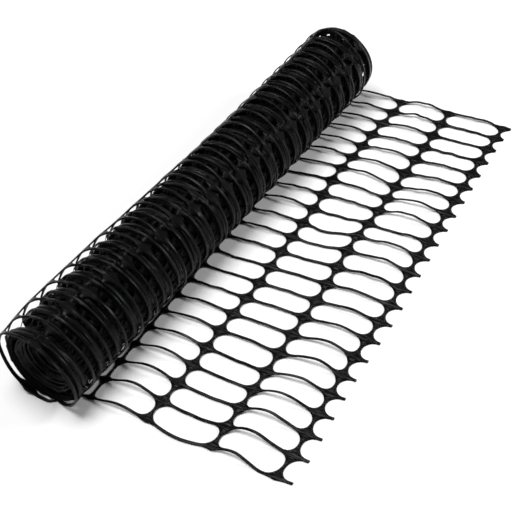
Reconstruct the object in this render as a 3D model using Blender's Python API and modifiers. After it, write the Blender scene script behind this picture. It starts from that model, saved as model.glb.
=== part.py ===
# A roll of safety barrier mesh with its loose end drawn out along the floor.
# Units are metres. +Z is up and +Y runs along the roll, from its near end to its far end.
# The net is described by two lengths: s runs along the winding, from the first column of
# knots at the loose end, and w runs across the width, from the near edge to the far edge.

import bmesh
import bpy
from math import atan2, cos, exp, pi, radians, sin, sqrt

MM = 0.001

# The net
ROWS = 23                          # strands across the width, both edge strands among them
ROW_PITCH = 45.45 * MM             # from strand to strand
COLUMN_PITCH = 121.5 * MM          # from one chain of knots to the next, along the winding
STRAND_WIDTH = 4.0 * MM
CHAIN_WIDTH = 8.5 * MM             # the waist of a chain between two knots
KNOT_HALF = 6.5 * MM               # half the thick middle of a knot
TAPER = 13.5 * MM                  # from a knot's middle to where a strand has its even width
NET_THICKNESS = 1.8 * MM
NET_WIDTH = (ROWS - 1) * ROW_PITCH

# The loose end
LOOSE_COLUMNS = 4                  # chains of knots that lie on the floor
STUB_NEAR = 30.0 * MM              # strands cut off past the first chain, at the near edge
STUB_FAR = 17.0 * MM               # and at the far edge
FIRST_KNOT = (242.2 * MM, -467.2 * MM)
SKEW = radians(2.56)               # the net leaves the roll this far off square

# The wound roll
FOOT_DISTANCE = 424.8 * MM         # from the first chain to the line that the roll rests on
NEAR_OVERHANG = 42.2 * MM          # the roll's near end reaches this far past the first knot
ROLL_X = FIRST_KNOT[0] - FOOT_DISTANCE
ROLL_NEAR_Y = FIRST_KNOT[1] - NEAR_OVERHANG
ROLL_LENGTH = 1012.0 * MM
ROLL_RADIUS_NEAR = 75.0 * MM
ROLL_RADIUS_FAR = 81.0 * MM
BORE_RADIUS = 19.0 * MM
BORE_Z = 80.0 * MM
BORE_RINGS = 5
SEGMENTS = 24
RIDGE_HALF = 4.0 * MM              # half the width of the band that a row of strands makes
GROOVE_DEPTH = 3.5 * MM
FLAT_SPOT_Z = 2.2 * MM             # the roll's weight rests on the net here
SETTLE = 0.8 * MM                  # height of the round form over the floor before it flattens
END_RECESS = 16.0 * MM             # how far the innermost turns stand back at an end

# The outermost turn, which stands off the roll at the near left
TURN_CLEARANCE = 3.5 * MM          # its outer side over the roll where it lies against it
TURN_SAG = 3.5 * MM                # it hangs a little lower where it leaves the floor
SAG_END = radians(60.0)            # angle from the bottom, round the left, where that ends
TURN_PEAK = radians(115.0)         # angle from the bottom, round the left, where it stands off most
TURN_CLOSE = radians(172.0)        # angle where it is back on the roll
TURN_COLUMNS = 3                   # openings along the turn, past its free strands
FLAT_STATIONS = [0.5]              # bends along a strand that lies flat, as shares of a pitch
TURN_STATIONS = [0.37, 0.63]       # and along a strand that goes round the roll
FREE_STATIONS = [1.0, 0.66, 0.33, 0.0]
CUT_LINE = 24.0 * MM               # the loose end runs this far past the line it carries the roll on
FLAT_START = 6.0 * MM              # the turn still lies flat this far past its own start
PATH_STEP = 2.0 * MM               # step in following the turn round the roll
CUT_GAP = 0.3 * MM

# The chains of knots round the roll, which fill the grooves between its rows of strands
ROLL_CHAINS = 4
CHAIN_ANGLE = radians(222.0)       # one of them, from the bottom, round the left
CHAIN_EDGE = 0.45                  # cosine where a chain starts to rise out of a groove
CHAIN_CREST = 0.95                 # and where it is level with the strands

# The turns that show at an end of the roll
TURN_STEP = 1.5 * MM               # how far one turn stands past the next at an end
TURN_SPACING = 24.0 * MM

# How unevenly the strands arch over the floor
ARCH_SPREAD = 0.45                 # share of the arch's height
ARCH_WAVE = 2.3                    # radians from row to row
ARCH_SWELL = 0.9                   # radians from row to row, in the wave's own strength
ARCH_SHIFT = 1.7                   # radians from chain to chain
PULL_REACH = 0.58                  # how far a pull reaches along the winding, in column pitches

BLACK_PLASTIC = (0.012, 0.012, 0.013, 1.0)
PLASTIC_ROUGHNESS = 0.45
SHARP_EDGE = radians(50.0)

# The stepped ends, from the rim to the bore: how far back each step stands, as a share of
# the recess, and its radius, as a share of the roll's
END_STEPS = [
    {"back": 0.10, "radius": 0.93},
    {"back": 0.35, "radius": 0.80},
    {"back": 0.60, "radius": 0.65},
    {"back": 0.80, "radius": 0.50},
    {"back": 0.95, "radius": 0.36},
]

# How far the outermost turn stands off, by distance along the width
STAND_OFF = [
    {"w": 0.000, "gap": 5.0 * MM},
    {"w": 0.090, "gap": 13.0 * MM},
    {"w": 0.250, "gap": 12.0 * MM},
    {"w": 0.330, "gap": 10.0 * MM},
    {"w": 0.440, "gap": 7.0 * MM},
    {"w": 0.560, "gap": 3.0 * MM},
    {"w": 0.660, "gap": 1.0 * MM},
    {"w": 1.000, "gap": 1.0 * MM},
]

# How far the near edge strays out past the net's straight edge, by chain along the winding
STRAYS = [
    {"chain": 3.1, "stray": 0.0 * MM},
    {"chain": 3.5, "stray": 40.0 * MM},
    {"chain": 4.0, "stray": 35.0 * MM},
    {"chain": 5.0, "stray": 25.0 * MM},
    {"chain": 6.0, "stray": 12.0 * MM},
    {"chain": 7.0, "stray": 6.0 * MM},
]

# Where the loose net is pulled out of its even pattern: the chain and the row at the middle
# of each pull, its reach in rows, and how far it moves along s and w
PULLS = [
    {"chain": 0, "row": 1.0, "reach": 1.5, "ds": -2.0 * MM, "dw": 5.0 * MM},
    {"chain": 0, "row": 5.5, "reach": 2.0, "ds": 1.5 * MM, "dw": -3.5 * MM},
    {"chain": 0, "row": 8.5, "reach": 2.0, "ds": -4.5 * MM, "dw": 0.0 * MM},
    {"chain": 0, "row": 22.0, "reach": 1.2, "ds": -4.5 * MM, "dw": -8.0 * MM},
    {"chain": 1, "row": 4.0, "reach": 1.5, "ds": -1.5 * MM, "dw": -5.5 * MM},
    {"chain": 1, "row": 11.5, "reach": 1.8, "ds": 8.0 * MM, "dw": 9.0 * MM},
    {"chain": 1, "row": 16.2, "reach": 1.2, "ds": 2.0 * MM, "dw": -8.5 * MM},
    {"chain": 2, "row": 0.0, "reach": 1.3, "ds": 7.0 * MM, "dw": 2.0 * MM},
    {"chain": 2, "row": 8.0, "reach": 1.5, "ds": -4.5 * MM, "dw": -1.0 * MM},
    {"chain": 2, "row": 15.5, "reach": 1.6, "ds": 8.5 * MM, "dw": 8.0 * MM},
    {"chain": 2, "row": 21.5, "reach": 1.6, "ds": -11.0 * MM, "dw": 2.0 * MM},
]

# Height of the net's underside at each chain on the floor, and of the strands that arch
# over the floor between that chain and the next, in millimetres
ARCHES = [
    {"chain": 0, "knot_near": 0.0, "knot_far": 0.0, "arch_near": 6.0, "arch_far": 3.0},
    {"chain": 1, "knot_near": 3.0, "knot_far": 1.0, "arch_near": 6.0, "arch_far": 4.0},
    {"chain": 2, "knot_near": 3.0, "knot_far": 2.0, "arch_near": 9.0, "arch_far": 6.0},
    {"chain": 3, "knot_near": 0.0, "knot_far": 0.0, "arch_near": 0.0, "arch_far": 0.0},
]


def clear_scene():
    for found in list(bpy.data.objects):
        bpy.data.objects.remove(found, do_unlink=True)


def smooth_step(value):
    value = min(max(value, 0.0), 1.0)
    return value * value * (3.0 - 2.0 * value)


def table_value(table, key, column, at):
    """Read a column of a table at a place between its rows."""
    if at <= table[0][key]:
        return table[0][column]
    for low, high in zip(table, table[1:]):
        if at <= high[key]:
            share = smooth_step((at - low[key]) / (high[key] - low[key]))
            return low[column] + (high[column] - low[column]) * share
    return table[-1][column]


def roll_radius(y):
    share = min(max((y - ROLL_NEAR_Y) / ROLL_LENGTH, 0.0), 1.0)
    return ROLL_RADIUS_NEAR + (ROLL_RADIUS_FAR - ROLL_RADIUS_NEAR) * share


def roll_centre_z(y):
    return roll_radius(y) + SETTLE


def pulled(s, w):
    """Shift a point of the flat net by the pulls near it."""
    shift_s = 0.0
    shift_w = 0.0
    for pull in PULLS:
        chains_off = s / COLUMN_PITCH - pull["chain"]
        rows_off = (w / ROW_PITCH - pull["row"]) / pull["reach"]
        share = exp(-(rows_off ** 2)) * exp(-((chains_off / PULL_REACH) ** 2))
        shift_s += pull["ds"] * share
        shift_w += pull["dw"] * share
    return s + shift_s, w + shift_w


def arch_height(s, w):
    """Height of the loose net's underside over the floor."""
    place = min(max(s / COLUMN_PITCH, 0.0), LOOSE_COLUMNS - 1.0)
    chain = min(int(place), LOOSE_COLUMNS - 2)
    across = w / NET_WIDTH
    here = ARCHES[chain]
    after = ARCHES[chain + 1]
    low = here["knot_near"] + (here["knot_far"] - here["knot_near"]) * across
    high = after["knot_near"] + (after["knot_far"] - after["knot_near"]) * across
    arch = here["arch_near"] + (here["arch_far"] - here["arch_near"]) * across
    share = ((place - chain) * COLUMN_PITCH - TAPER) / (COLUMN_PITCH - 2 * TAPER)
    share = min(max(share, 0.0), 1.0)
    row = w / ROW_PITCH
    wave = sin(ARCH_WAVE * row + ARCH_SHIFT * chain) * sin(ARCH_SWELL * row)
    arch = arch * (1.0 + ARCH_SPREAD * wave)
    return (low + (high - low) * smooth_step(share) + arch * sin(pi * share) ** 2) * MM


def turn_stand_off(angle, w):
    """How far the outermost turn stands off the roll, over its resting clearance."""
    gap = table_value(STAND_OFF, "w", "gap", w)
    if angle <= TURN_PEAK:
        return gap * smooth_step(angle / TURN_PEAK)
    return gap * smooth_step((TURN_CLOSE - angle) / (TURN_CLOSE - TURN_PEAK))


def turn_reach(angle, y, w):
    """Distance of the outermost turn's outer side from the roll's middle."""
    sag = TURN_SAG * (1.0 - smooth_step(angle / SAG_END))
    return roll_radius(y) + TURN_CLEARANCE + sag + turn_stand_off(angle, w)


def turn_angle(travel, y, w):
    """Angle from the bottom, round the left, at a length along the outermost turn."""
    angle = 0.0
    while travel > 0.0:
        step = min(travel, PATH_STEP)
        angle += step / turn_reach(angle, y, w)
        travel -= step
    return angle


def net_point(s, w):
    """Place of the net's underside, or of its outer side where it goes round the roll."""
    s, w = pulled(s, w)
    x = FIRST_KNOT[0] - s * cos(SKEW) - w * sin(SKEW)
    stray = table_value(STRAYS, "chain", "stray", s / COLUMN_PITCH) * (1.0 - w / NET_WIDTH)
    y = FIRST_KNOT[1] - s * sin(SKEW) + w * cos(SKEW) - stray
    if x >= ROLL_X:
        return x, y, arch_height(s, w)
    angle = turn_angle(ROLL_X - x, y, w)
    reach = turn_reach(angle, y, w)
    height = roll_centre_z(y) - reach * cos(angle)
    return ROLL_X - reach * sin(angle), y, max(height, 0.0)


def length_under_roll(row):
    """Length of a row from the first chain to the line under the roll where it is parted."""
    return (FIRST_KNOT[0] - ROLL_X + CUT_LINE - row * ROW_PITCH * sin(SKEW)) / cos(SKEW)


def row_lines():
    """Lines across the flat net: both sides of each row of strands, and each waist between."""
    lines = []
    for row in range(ROWS):
        lines.append({"row": row, "side": -1.0})
        lines.append({"row": row, "side": 1.0})
        if row < ROWS - 1:
            lines.append({"row": row + 0.5, "side": 0.0})
    return lines


def column_lines(first, last, stations):
    """Lines along the flat net, from one chain of knots to another."""
    lines = []
    for chain in range(first, last + 1):
        lines.append({"chain": chain, "kind": "knot", "offset": -KNOT_HALF})
        lines.append({"chain": chain, "kind": "knot", "offset": KNOT_HALF})
        if chain < last:
            lines.append({"chain": chain, "kind": "strand", "offset": TAPER})
            for station in stations:
                lines.append({"chain": chain, "kind": "strand", "offset": COLUMN_PITCH * station})
            lines.append({"chain": chain, "kind": "strand", "offset": COLUMN_PITCH - TAPER})
    return lines


def flat_point(column, row):
    """Place of one corner of the flat net."""
    along = column["offset"]
    if column["kind"] == "tip":
        along = along * column["length"](row["row"])
    across = row["side"] * STRAND_WIDTH / 2
    if column["kind"] == "knot":
        at_edge = row["row"] + row["side"] in (-1.0, ROWS)
        if row["side"] == 0.0:
            along = along * CHAIN_WIDTH / (2 * KNOT_HALF)
        elif not at_edge:
            across = row["side"] * KNOT_HALF
    return column["chain"] * COLUMN_PITCH + along, row["row"] * ROW_PITCH + across


def net_sheet(name, columns, collection, material):
    """One solid of net: a grid with its openings taken out, bent to its place and thickened."""
    rows = row_lines()
    mesh = bmesh.new()
    bmesh.ops.create_grid(mesh, x_segments=len(columns) - 1, y_segments=len(rows) - 1, size=1.0)
    mesh.verts.index_update()
    openings = []
    for face in mesh.faces:
        indices = [vert.index for vert in face.verts]
        column = columns[min(index % len(columns) for index in indices)]
        row = rows[min(index // len(columns) for index in indices)]
        on_strand = row["side"] == -1.0
        on_chain = column["kind"] == "knot" and column["offset"] < 0.0
        if not (on_strand or on_chain):
            openings.append(face)
    places = []
    for vert in mesh.verts:
        column = columns[vert.index % len(columns)]
        row = rows[vert.index // len(columns)]
        places.append(net_point(*flat_point(column, row)))
    for vert, place in zip(mesh.verts, places):
        vert.co = place
    bmesh.ops.delete(mesh, geom=openings, context="FACES")
    bmesh.ops.reverse_faces(mesh, faces=mesh.faces)
    data = bpy.data.meshes.new(name)
    mesh.to_mesh(data)
    mesh.free()
    sheet = bpy.data.objects.new(name, data)
    collection.objects.link(sheet)
    data.materials.append(material)
    wall = sheet.modifiers.new("thickness", "SOLIDIFY")
    wall.thickness = NET_THICKNESS
    wall.offset = 1.0
    wall.use_even_offset = False
    return sheet


def loose_end(collection, material):
    """The net on the floor, from its cut end to where the roll rests on it."""
    last = LOOSE_COLUMNS - 1

    def stub_length(row):
        return STUB_NEAR + (STUB_FAR - STUB_NEAR) * row / (ROWS - 1)

    def length_to_roll(row):
        return length_under_roll(row) - last * COLUMN_PITCH - CUT_GAP / 2

    cut_tip = {"chain": 0, "kind": "tip", "offset": -1.0, "length": stub_length}
    cut_root = {"chain": 0, "kind": "strand", "offset": -TAPER}
    roll_root = {"chain": last, "kind": "strand", "offset": TAPER}
    roll_tip = {"chain": last, "kind": "tip", "offset": 1.0, "length": length_to_roll}
    columns = [cut_tip, cut_root] + column_lines(0, last, FLAT_STATIONS) + [roll_root, roll_tip]
    return net_sheet("loose_end", columns, collection, material)


def loose_turn(collection, material):
    """The outermost turn, parted from the loose end under the roll.

    It goes up the roll's left side, over it and down its right side.
    """
    first = LOOSE_COLUMNS

    def length_from_roll(row):
        return first * COLUMN_PITCH - length_under_roll(row) - CUT_GAP / 2

    def free_station(share):
        def length(row):
            return TAPER + (length_from_roll(row) - FLAT_START - TAPER) * share
        return {"chain": first, "kind": "tip", "offset": -1.0, "length": length}

    roll_tip = {"chain": first, "kind": "tip", "offset": -1.0, "length": length_from_roll}
    columns = [roll_tip] + [free_station(share) for share in FREE_STATIONS]
    columns += column_lines(first, first + TURN_COLUMNS, TURN_STATIONS)
    return net_sheet("loose_turn", columns, collection, material)


def roll_profile():
    """One closed profile of the wound form, as distance along the roll and radius."""
    pitch = (ROLL_LENGTH - 2 * RIDGE_HALF) / (ROWS - 1)
    outer = []
    for row in range(ROWS):
        y = ROLL_NEAR_Y + RIDGE_HALF + row * pitch
        outer.append((y - RIDGE_HALF, roll_radius(y)))
        outer.append((y + RIDGE_HALF, roll_radius(y)))
        if row < ROWS - 1:
            outer.append((y + pitch / 2, roll_radius(y) - GROOVE_DEPTH))
    far_y = ROLL_NEAR_Y + ROLL_LENGTH
    far_end = []
    near_end = []
    for step in END_STEPS:
        back = END_RECESS * step["back"]
        far_end.append((far_y - back, roll_radius(far_y) * step["radius"]))
        near_end.append((ROLL_NEAR_Y + back, ROLL_RADIUS_NEAR * step["radius"]))
    bore = []
    for ring in range(BORE_RINGS):
        share = ring / (BORE_RINGS - 1)
        bore.append((far_y - END_RECESS - (ROLL_LENGTH - 2 * END_RECESS) * share, BORE_RADIUS))
    return outer + far_end + bore + list(reversed(near_end))


def wound_roll(collection, material):
    """The wound form: grooved between its rows of strands, with stepped turns at its ends."""
    mesh = bmesh.new()
    corners = [mesh.verts.new((radius, y, 0.0)) for y, radius in roll_profile()]
    for corner, following in zip(corners, corners[1:] + corners[:1]):
        mesh.edges.new((corner, following))
    bmesh.ops.spin(
        mesh,
        geom=mesh.verts[:] + mesh.edges[:],
        cent=(0.0, 0.0, 0.0),
        axis=(0.0, 1.0, 0.0),
        angle=2 * pi,
        steps=SEGMENTS,
        use_merge=True,
    )
    for vert in mesh.verts:
        vert.co = roll_point(vert.co.y, sqrt(vert.co.x ** 2 + vert.co.z ** 2), vert.co)
    bmesh.ops.recalc_face_normals(mesh, faces=mesh.faces)
    data = bpy.data.meshes.new("wound_roll")
    mesh.to_mesh(data)
    mesh.free()
    roll = bpy.data.objects.new("wound_roll", data)
    collection.objects.link(roll)
    data.materials.append(material)
    data.shade_smooth()
    data.set_sharp_from_angle(angle=SHARP_EDGE)
    return roll


def roll_point(y, radius, place):
    """Shape one point of the turned form: chains of knots, stepped turns, flat spot."""
    angle = atan2(-place.x, -place.z)
    surface = roll_radius(y)
    groove = surface - GROOVE_DEPTH
    if abs(radius - groove) < GROOVE_DEPTH / 2:
        chain = cos(ROLL_CHAINS * (angle - CHAIN_ANGLE))
        radius += GROOVE_DEPTH * smooth_step((chain - CHAIN_EDGE) / (CHAIN_CREST - CHAIN_EDGE))
    elif BORE_RADIUS + MM < radius < groove:
        inward = 1.0 if y < ROLL_NEAR_Y + ROLL_LENGTH / 2 else -1.0
        y += inward * TURN_STEP * sin(angle + 2 * pi * radius / TURN_SPACING)
    share = smooth_step((radius - BORE_RADIUS) / (surface - BORE_RADIUS))
    middle = BORE_Z + (roll_centre_z(y) - BORE_Z) * share
    height = middle - radius * cos(angle)
    return ROLL_X - radius * sin(angle), y, max(height, FLAT_SPOT_Z)


def plastic(name):
    """Black polyethylene, a little glossy from the stretching."""
    material = bpy.data.materials.new(name)
    material.use_nodes = True
    shader = material.node_tree.nodes["Principled BSDF"]
    shader.inputs["Base Color"].default_value = BLACK_PLASTIC
    shader.inputs["Roughness"].default_value = PLASTIC_ROUGHNESS
    shader.inputs["Metallic"].default_value = 0.0
    return material


def build():
    clear_scene()
    collection = bpy.data.collections.new("barrier_mesh_roll")
    bpy.context.scene.collection.children.link(collection)
    wound_roll(collection, plastic("wound_polyethylene"))
    loose_turn(collection, plastic("turn_polyethylene"))
    loose_end(collection, plastic("loose_polyethylene"))


build()
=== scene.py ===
# %% [markdown]
# # A roll of safety barrier mesh
#
# This lesson dresses a plain model of a roll of black plastic fence net. The net is one long
# sheet with rows of oval openings. Most of it is wound up. Its loose end lies on the floor,
# and its outermost turn has sprung away from one side of the roll.
#
# All lengths are in metres. +Z is up, and +Y runs along the roll from the end that is near
# the camera to the far end. The net itself is described by two lengths: s runs along the
# winding, from the first chain of knots at the cut end, and w runs across the width.

import bmesh
import bpy
import numpy as np
from math import atan, ceil, cos, pi, radians, sin
from mathutils import Matrix, Vector, noise


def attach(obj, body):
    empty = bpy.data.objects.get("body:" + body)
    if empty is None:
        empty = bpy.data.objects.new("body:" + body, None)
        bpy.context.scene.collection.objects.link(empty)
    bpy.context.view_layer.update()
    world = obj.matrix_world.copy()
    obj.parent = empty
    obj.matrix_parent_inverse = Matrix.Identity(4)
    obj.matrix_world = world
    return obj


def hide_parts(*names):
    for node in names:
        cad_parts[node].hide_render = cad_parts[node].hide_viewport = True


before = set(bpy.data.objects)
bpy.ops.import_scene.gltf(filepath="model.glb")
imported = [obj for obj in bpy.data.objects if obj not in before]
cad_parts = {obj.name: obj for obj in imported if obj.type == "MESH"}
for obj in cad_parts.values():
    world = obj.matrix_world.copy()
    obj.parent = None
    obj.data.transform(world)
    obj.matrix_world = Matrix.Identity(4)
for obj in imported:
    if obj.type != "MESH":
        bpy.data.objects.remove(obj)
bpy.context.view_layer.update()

# %% [markdown]
# The camera comes first, because every later choice is judged through it. The photograph was
# taken from the right of the roll's near end, with the camera turned a little about its own
# axis, so the level floor seems to tip. A small helper builds the three axes of a camera from
# an azimuth, an elevation and that roll.

# %% Camera
MM = 0.001
CAMERA_PLACE = Vector((825.6, -1235.5, 1328.8)) * MM
CAMERA_AZIMUTH = radians(36.81)
CAMERA_ELEVATION = radians(42.007)
CAMERA_ROLL = radians(-7.02)
SENSOR_MM = 36.0
LENS_MM = 73.12


def camera_axes(azimuth, elevation, roll):
    """The camera's right, up and back."""
    back = Vector((sin(azimuth) * cos(elevation), -cos(azimuth) * cos(elevation), sin(elevation)))
    level = Vector((cos(azimuth), sin(azimuth), 0.0))
    upright = back.cross(level)
    right = level * cos(roll) + upright * sin(roll)
    up = upright * cos(roll) - level * sin(roll)
    return right, up, back


def add_object(name, data):
    """An object, linked to the scene."""
    made = bpy.data.objects.new(name, data)
    bpy.context.scene.collection.objects.link(made)
    return made


camera = add_object("camera", bpy.data.cameras.new("camera"))
camera.data.sensor_width = SENSOR_MM
camera.data.lens = LENS_MM
turned = Matrix(camera_axes(CAMERA_AZIMUTH, CAMERA_ELEVATION, CAMERA_ROLL)).transposed().to_4x4()
camera.matrix_world = Matrix.Translation(CAMERA_PLACE) @ turned
bpy.context.scene.camera = camera
print("field of view, degrees:", round(2 * atan(SENSOR_MM / 2 / LENS_MM) * 180 / pi, 1))

# %% [markdown]
# The sizes of the net repeat those of the plain model. The net is made in a width of 1 m with
# 22 openings across it, so the rows of strands are 45.5 mm apart. The chains of knots that
# join them are 121.5 mm apart.

# %% Sizes of the net
ROWS = 23
ROW_PITCH = 45.45 * MM
CHAIN_PITCH = 121.5 * MM
WIDTH = (ROWS - 1) * ROW_PITCH
STRAND_HALF = 2.6 * MM  # half the width of a strand
WOUND_HALF = 4.2 * MM  # the same where it is wound tight and lies flat
WAIST_HALF = 4.25 * MM  # half the width of a chain between two knots
FILLET = 24 * MM  # how far a strand widens towards its knot
ROUNDNESS = 2.5  # 2 would make the ends of an opening elliptical
STRAND_THICK = 1.35 * MM  # half the thickness of a strand
KNOT_THICK = 1.9 * MM  # half the thickness of a knot
CHAIN_THICK_SHARE = 0.4  # share of that extra thickness that a chain has all along
KNOT_REACH = 10 * MM  # how far it reaches from the middle of a knot
EDGE_KNOT = 2.6 * MM  # a knot of an edge strand stands out by this much
MERGE = 0.01 * MM  # points closer than this become one
print("net width, mm:", round(WIDTH / MM))

# %% Sizes of the roll
FIRST_KNOT = (242.2 * MM, -467.2 * MM)  # near knot of the first chain, in x and y
SKEW = radians(2.56)  # the net on the floor lies this much askew to the roll
FOOT_DISTANCE = 424.8 * MM  # from that knot to the line that the roll rests on
NEAR_OVERHANG = 42.2 * MM  # the roll starts this far before that knot
ROLL_X = FIRST_KNOT[0] - FOOT_DISTANCE
ROLL_NEAR_Y = FIRST_KNOT[1] - NEAR_OVERHANG
ROLL_LENGTH = 1012 * MM
ROLL_RADIUS_NEAR = 75 * MM
ROLL_RADIUS_FAR = 81 * MM
BORE_RADIUS = 19 * MM
BORE_Z = 80 * MM  # height of the middle of the bore
SETTLE = 0.8 * MM  # the outer turns are round a line this much over their radius
END_RECESS = 40 * MM  # the innermost turns start this far inside the roll
LOOSE_CHAINS = 4  # chains of knots on the floor
print("roll is wound at x, mm:", round(ROLL_X / MM))

# %% [markdown]
# The loose net isn't perfectly even. Someone pulled it out by hand, so a few knots have moved,
# and the strands bow between their chains. Short tables hold what the photograph shows, in
# millimetres:
#
# - PULLS: a knot has moved by ds along the net and by dw across it, and its neighbours, within
#   a reach of some rows, have moved with it.
# - KNOT_HEIGHTS: how high each chain on the floor lies.
# - BOWS: how far the strands of a row bow up and to the far side, between the first chain and
#   the second, the second and the third, and so on. The lean moves the top of the first bow
#   towards the second chain.
# - STRAYS: how far the net has slid towards the near end where it goes up and over the roll, at
#   its near edge and its far edge. The lean adds to that, except at the edge strand itself.
# - STAND_OFF: how far the loose turn stands off the roll. Here w is in metres.
#
# A helper reads a column at any place, with a smooth step between the rows of its table. It
# takes whole arrays of places at once and gives metres.

# %% Tables of the loose net
def table(columns, rows):
    """Rows of numbers, with a name for each column."""
    return [dict(zip(columns.split(), row)) for row in rows]


PULLS = table("chain row reach ds dw", [
    (0, 0, 0.7, 5, -4),
    (0, 1, 1.5, -2.8, -1.5),
    (0, 5.5, 2, 1.5, -3.5),
    (0, 8.5, 2, -4.5, 0),
    (0, 22, 1.2, -4.5, -8),
    (1, 4, 1.5, -1.5, -5.5),
    (1, 11.5, 1.8, 8, 9),
    (1, 16.2, 1.2, 2, -8.5),
    (2, 0, 1.3, 7, 2),
    (2, 8, 1.5, -4.5, -1),
    (2, 15.5, 1.6, 8.5, 8),
    (2, 21.5, 1.6, -11, 2),
    (4, 0, 1.2, -14, 0),
    (6, 0.5, 6.5, -29, 0),
    (10, 0.5, 6.5, -24, 0),
])
KNOT_HEIGHTS = [0.0, 1.5, 1.5, 0.0]
BOWS = table("row first lean second third", [
    (0, 9, 7, -12, 12),
    (1, 16, 5.5, -5, 20),
    (2.5, 18.5, 3.5, -2, 18),
    (4, 15.5, 0.5, -2, 12),
    (5, 17.5, -3.5, 3, 10),
    (6, 15.5, -4.5, 1.5, 6.5),
    (7.5, 8, -1.5, 1.5, 0.5),
    (9, 8, 0, 0, -3),
    (10.5, 11, -3.5, -3, 6),
    (12, 10, -4, -12, 6),
    (13, 0, -4, -3, 12),
    (14, 16, 0, 3.5, 7),
    (15, 15, 0, 4, 1),
    (16, 10, 0, 12, 4),
    (17.5, 5, 0, 9.5, 12),
    (19, 1, 0, 5, 9),
    (20.5, 0, 0, 10, 9),
    (22, 6, 0, 10, 10),
])
STRAYS = table("chain near far lean", [
    (3.1, 0, 0, 0),
    (3.5, 40, 6, 0),
    (4, 35, 12, 8),
    (4.65, 28, 17, 24),
    (5, 25, 20, 9),
    (5.3, 25, 22, 0),
    (6, 25, 35, 0),
    (7.2, 22, 29, 0),
    (8.2, 0, 0, 0),
])
STAND_OFF = table("w gap", [
    (0, 10), (0.09, 16.5), (0.25, 12.5), (0.33, 8), (0.44, 5), (0.56, 1.5), (0.66, 0), (1, 0),
])


def smooth(value):
    """0 up to 0, 1 from 1 on, and smooth between them."""
    value = np.clip(value, 0.0, 1.0)
    return value * value * (3.0 - 2.0 * value)


def table_value(rows, column, at):
    """One column of a table, read where its first column has some values."""
    key = next(iter(rows[0]))
    result = np.full_like(at, rows[0][column])
    for low, high in zip(rows, rows[1:]):
        share = smooth((at - low[key]) / (high[key] - low[key]))
        result = result + (high[column] - low[column]) * share
    return result * MM


half_way = table_value(STAND_OFF, "gap", np.array([0.5]))
print("stand-off half-way along, mm:", (half_way / MM).round(1))

# %% [markdown]
# ## Laying out one opening
#
# The net was a plain sheet with punched holes, drawn out while warm. Each hole became a long
# oval, the plastic between the holes became strands, and what was left where they cross became
# thick knots. The pattern repeats, so one opening is modelled and copied. Its piece of net is
# a ring: the outside of the ring runs along the middle of the strands and chains round the
# opening, and the inside of the ring is the oval edge.
#
# The ring starts as a flat grid from create_grid. Each column of the grid becomes one spoke of
# the ring, so its two ends meet and are merged. Mirroring it in Z gives the underside.


# %% Spokes of the ring
def corner_spokes(steps, strand_half):
    """Spokes of one quarter of an opening, from the middle of its end to its long side."""
    spokes = []
    for step in range(steps + 1):
        share = step / steps
        turn = share * pi / 2
        oval_s = WAIST_HALF + FILLET * (1 - cos(turn) ** (2 / ROUNDNESS))
        oval_w = ROW_PITCH / 2 - (ROW_PITCH / 2 - strand_half) * sin(turn) ** (2 / ROUNDNESS)
        if share <= 0.5:
            middle = (0.0, ROW_PITCH / 2 * (1 - 2.0 * share))
        else:
            middle = ((WAIST_HALF + FILLET) * (2.0 * share - 1.0), 0.0)
        spokes.append((middle, (oval_s, oval_w)))
    return spokes


def ring_spokes(corner_steps, side_steps, strand_half):
    """All spokes round one opening, the last the same as the first."""
    quarter = corner_spokes(corner_steps, strand_half)
    start = WAIST_HALF + FILLET
    side = []
    for step in range(1, side_steps):
        s = start + (CHAIN_PITCH - 2 * start) * step / side_steps
        side.append(((s, 0.0), (s, strand_half)))
    far = []
    for (middle_s, middle_w), (edge_s, edge_w) in reversed(quarter):
        far.append(((CHAIN_PITCH - middle_s, middle_w), (CHAIN_PITCH - edge_s, edge_w)))
    low = quarter + side + far
    high = []
    for (middle_s, middle_w), (edge_s, edge_w) in reversed(low):
        high.append(((middle_s, ROW_PITCH - middle_w), (edge_s, ROW_PITCH - edge_w)))
    return low + high[1:]


FINE_STEPS = (6, 8)  # spokes at each corner of an opening and along each side
PLAIN_STEPS = (4, 6)
print("spokes round an opening:", len(ring_spokes(*FINE_STEPS, STRAND_HALF)) - 1)


# %% Thickness of the plastic
def off_nearest(value, pitch):
    """Distance past the nearest chain or row, or before it if negative."""
    return (value + pitch / 2) % pitch - pitch / 2


def near(distance, reach):
    """1 at a distance of nothing, and falling off smoothly over the reach."""
    return np.exp(-((distance / reach) ** 2))


def half_thickness(s, w):
    """The plastic is thickest at a knot, thinner along a chain, and thinnest along a strand."""
    near_row = near(off_nearest(w, ROW_PITCH), KNOT_REACH)
    near_knot = CHAIN_THICK_SHARE + (1 - CHAIN_THICK_SHARE) * near_row
    near_knot = near_knot * near(off_nearest(s, CHAIN_PITCH), KNOT_REACH)
    return STRAND_THICK + (KNOT_THICK - STRAND_THICK) * near_knot


print("half thickness of a knot, mm:", half_thickness(0.0, 0.0) / MM)


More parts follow.
